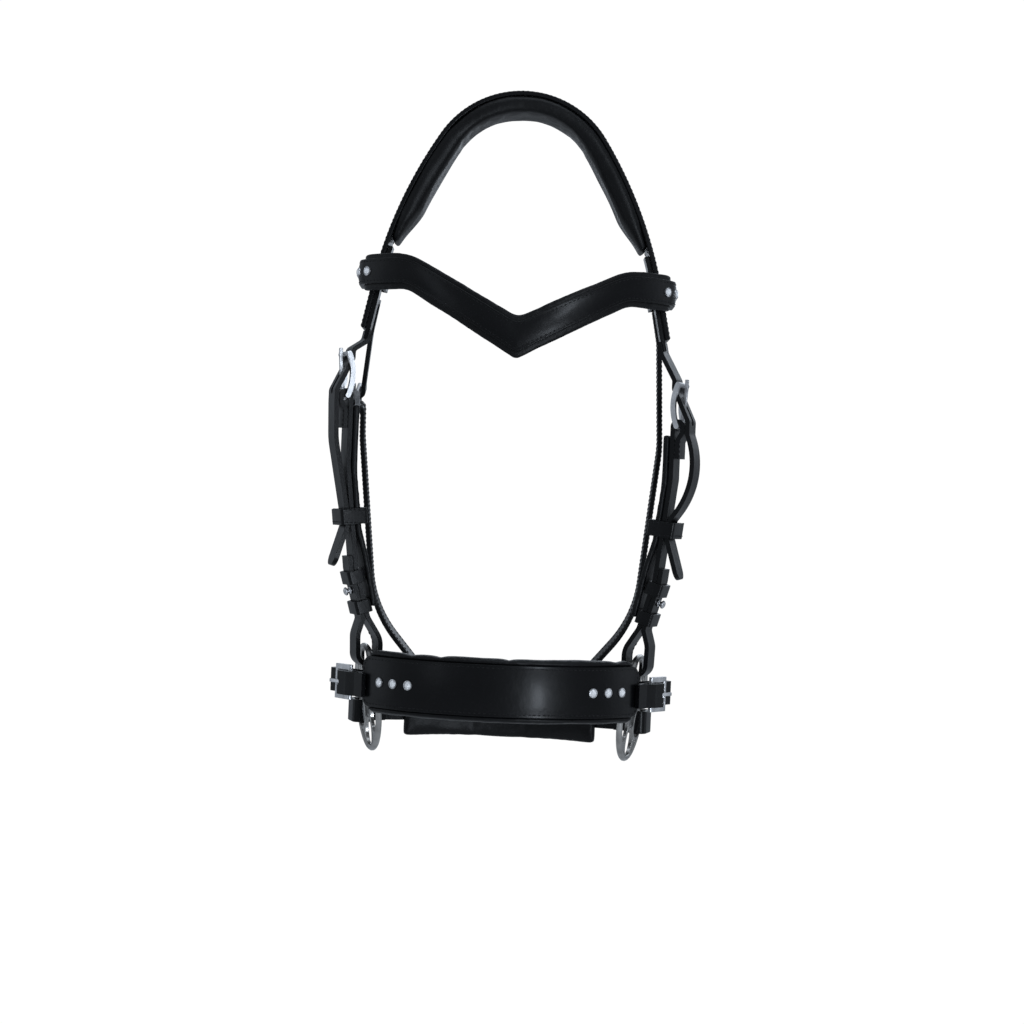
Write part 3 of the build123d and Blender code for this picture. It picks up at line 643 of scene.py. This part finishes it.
def addStone(stones, settings, spot):
    # spot: a matrix whose Z points out of the leather
    sunk = spot @ Matrix.Translation((0, 0, stone["girdle"] / 2))
    bmesh.ops.create_cone(stones, cap_ends=True, segments=stone["facets"], radius1=stone["radius"],
                          radius2=stone["radius"], depth=stone["girdle"], matrix=sunk)
    crownRise = stone["rise"] - stone["girdle"]
    lifted = spot @ Matrix.Translation((0, 0, stone["girdle"] + crownRise / 2))
    bmesh.ops.create_cone(stones, cap_ends=True, segments=stone["facets"], radius1=stone["radius"],
                          radius2=stone["radius"] * stone["table"], depth=crownRise, matrix=lifted)
    ring = [(stone["radius"] * 0.98, 0.0), (stone["cup"], 0.0), (stone["cup"] * 0.98, stone["girdle"] * 1.3),
            (stone["radius"] * 1.0, stone["girdle"] * 1.5)]
    corners = [settings.verts.new(spot @ Vector((x, 0, z))) for x, z in ring]
    edges = [settings.edges.new((a, b)) for a, b in zip(corners, corners[1:] + corners[:1])]
    bmesh.ops.spin(settings, geom=corners + edges, cent=spot.translation, axis=spot.to_3x3().col[2],
                   angle=math.tau, steps=24, use_merge=True)
    for claw in range(4):
        turn = Matrix.Rotation(math.tau * (claw + 0.5) / 4, 4, "Z")
        place = spot @ turn @ Matrix.Translation((stone["radius"] * 0.93, 0, stone["girdle"] * 1.6))
        bmesh.ops.create_uvsphere(settings, u_segments=8, v_segments=6, radius=0.42 * mm, matrix=place)


def spotFacing(place, out):
    spot = out.to_track_quat("Z", "Y").to_matrix().to_4x4()
    spot.translation = place
    return spot


def finishStones(stones, settings, node, name):
    bmesh.ops.recalc_face_normals(settings, faces=settings.faces)
    piece = finishMesh(stones, name + "Stones", stoneGlass, node, [node], sharp=5)
    finishMesh(settings, name + "Settings", buckleSteel, node, [node])
    return piece


stones, settings = bmesh.new(), bmesh.new()
crystalRow = {"angle": 38.2, "pitch": 12.5 * mm, "onPanel": 0.45 * mm}
noseMiddle = sum(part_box("noseband_strap")[end][2] for end in (0, 1)) / 2
for sign in sides.values():
    for count in (-1, 0, 1):
        angle = math.radians(crystalRow["angle"]) + count * crystalRow["pitch"] / noseband["radius"]
        out = Vector((sign * math.sin(angle), -math.cos(angle), 0))
        centre = Vector((0, noseband["centreY"], noseMiddle))
        place = centre + out * (noseband["radius"] + crystalRow["onPanel"])
        addStone(stones, settings, spotFacing(place, out))
finishStones(stones, settings, "noseband_crystals", "noseband")

stones, settings = bmesh.new(), bmesh.new()
browStones = {
    "half": 109.3 * mm, "cornerY": -20 * mm, "cornerRadius": 23.4 * mm, "turns": (0, 14.4, 45),
    "back": 6.6 * mm,
}
browHeight = {"left": -116.5 * mm, "right": -122.5 * mm}
for side, sign in sides.items():
    for turned in browStones["turns"]:
        angle = math.radians(turned)
        out = Vector((sign * math.cos(angle), -math.sin(angle), 0))
        inward = browStones["half"] - browStones["cornerRadius"]
        corner = Vector((sign * inward, browStones["cornerY"], browHeight[side]))
        place = corner + out * (browStones["cornerRadius"] + crystalRow["onPanel"])
        if turned == 0:
            place.y += browStones["back"]
        addStone(stones, settings, spotFacing(place, out))
finishStones(stones, settings, "browband_crystals", "browband")
print("stones made")

# ---- stage ----
studio = {
    "floorDrop": 0.5, "floorSize": 30.0, "floorTone": (0.8, 0.8, 0.8), "background": (1.0, 1.0, 1.0),
    "glow": 1.03, "ambient": 0.36, "floorShow": 0.01, "daylight": (0.82, 0.9, 1.0),
}


def seenOrLit(tree, seen, lit):
    # what the camera sees directly, and the dimmer thing that lights the object
    paths = tree.nodes.new("ShaderNodeLightPath")
    mix = tree.nodes.new("ShaderNodeMixShader")
    tree.links.new(paths.outputs["Is Camera Ray"], mix.inputs["Fac"])
    tree.links.new(lit, mix.inputs[1])
    tree.links.new(seen, mix.inputs[2])
    return mix.outputs["Shader"]


def paleGlow(tree):
    glow = tree.nodes.new("ShaderNodeEmission")
    glow.inputs["Color"].default_value = (*studio["background"], 1)
    glow.inputs["Strength"].default_value = studio["glow"]
    return glow.outputs["Emission"]


bm = bmesh.new()
bmesh.ops.create_grid(bm, x_segments=2, y_segments=2, size=studio["floorSize"])
bmesh.ops.translate(bm, verts=bm.verts, vec=(0, 0, cadBounds[0][2] - studio["floorDrop"]))
floorMesh = bpy.data.meshes.new("floor")
bm.to_mesh(floorMesh)
bm.free()
floorMaterial, floorTree, floorShader = startMaterial("paleFloor")
floorShader.inputs["Base Color"].default_value = (*studio["floorTone"], 1)
floorShader.inputs["Roughness"].default_value = 0.9
mostlyPale = floorTree.nodes.new("ShaderNodeMixShader")
mostlyPale.inputs["Fac"].default_value = studio["floorShow"]
floorTree.links.new(paleGlow(floorTree), mostlyPale.inputs[1])
floorTree.links.new(floorShader.outputs["BSDF"], mostlyPale.inputs[2])
floorSurface = seenOrLit(floorTree, mostlyPale.outputs["Shader"], floorShader.outputs["BSDF"])
floorTree.links.new(floorSurface, floorTree.nodes["Material Output"].inputs["Surface"])
floorMesh.materials.append(floorMaterial)
floor = bpy.data.objects.new("floor", floorMesh)
bpy.context.scene.collection.objects.link(floor)

world = bpy.data.worlds.new("studio")
world.use_nodes = True
bpy.context.scene.world = world
worldTree = world.node_tree
ambient = worldTree.nodes["Background"]
ambient.inputs["Color"].default_value = (*studio["daylight"], 1)
ambient.inputs["Strength"].default_value = studio["ambient"]
backdrop = worldTree.nodes.new("ShaderNodeBackground")
backdrop.inputs["Color"].default_value = (*studio["background"], 1)
backdrop.inputs["Strength"].default_value = studio["glow"]
worldSurface = seenOrLit(worldTree, backdrop.outputs["Background"], ambient.outputs["Background"])
worldTree.links.new(worldSurface, worldTree.nodes["World Output"].inputs["Surface"])


def addSoftbox(name, place, target, width, height, power):
    lamp = bpy.data.lights.new(name, "AREA")
    lamp.shape = "RECTANGLE"
    lamp.size = width
    lamp.size_y = height
    lamp.energy = power
    lamp.color = studio["daylight"]
    box = bpy.data.objects.new(name, lamp)
    box.location = place
    box.rotation_euler = (Vector(target) - Vector(place)).to_track_quat("-Z", "Y").to_euler()
    bpy.context.scene.collection.objects.link(box)


middle = (Vector(cadBounds[0]) + Vector(cadBounds[1])) / 2
# name: place, width, height, power
softboxes = {
    "lowRightSoftbox": ((0.84, -1.8, -0.62), 0.2, 0.4, 8),
    "highRightSoftbox": ((0.84, -1.8, 0.34), 0.2, 0.5, 6),
    "leftSoftbox": ((-1.4, -1.4, 0.2), 0.5, 1.3, 1.5),
    "topSoftbox": ((0.1, -0.4, 1.3), 1.4, 0.9, 6),
    "backSoftbox": ((0.4, 1.9, 0.5), 1.5, 1.2, 6),
    "rightRimSoftbox": ((1.9, 0.1, -0.1), 0.8, 1.4, 2.0),
    "leftRimSoftbox": ((-1.9, 0.1, -0.1), 0.8, 1.4, 2.0),
}
for name, (place, width, height, power) in softboxes.items():
    addSoftbox(name, place, middle, width, height, power)

view = {"place": (0.0028, -1.6, -0.277), "roll": 2.4, "lens": 80.4}
cameraData = bpy.data.cameras.new("camera")
cameraData.lens = view["lens"]
cameraData.sensor_width = 36.0
camera = bpy.data.objects.new("camera", cameraData)
camera.matrix_world = (Matrix.Translation(view["place"]) @ Matrix.Rotation(math.radians(90), 4, "X")
                       @ Matrix.Rotation(math.radians(view["roll"]), 4, "Z"))
bpy.context.scene.collection.objects.link(camera)
bpy.context.scene.camera = camera
bpy.context.scene.view_settings.view_transform = "Standard"
print("stage made")
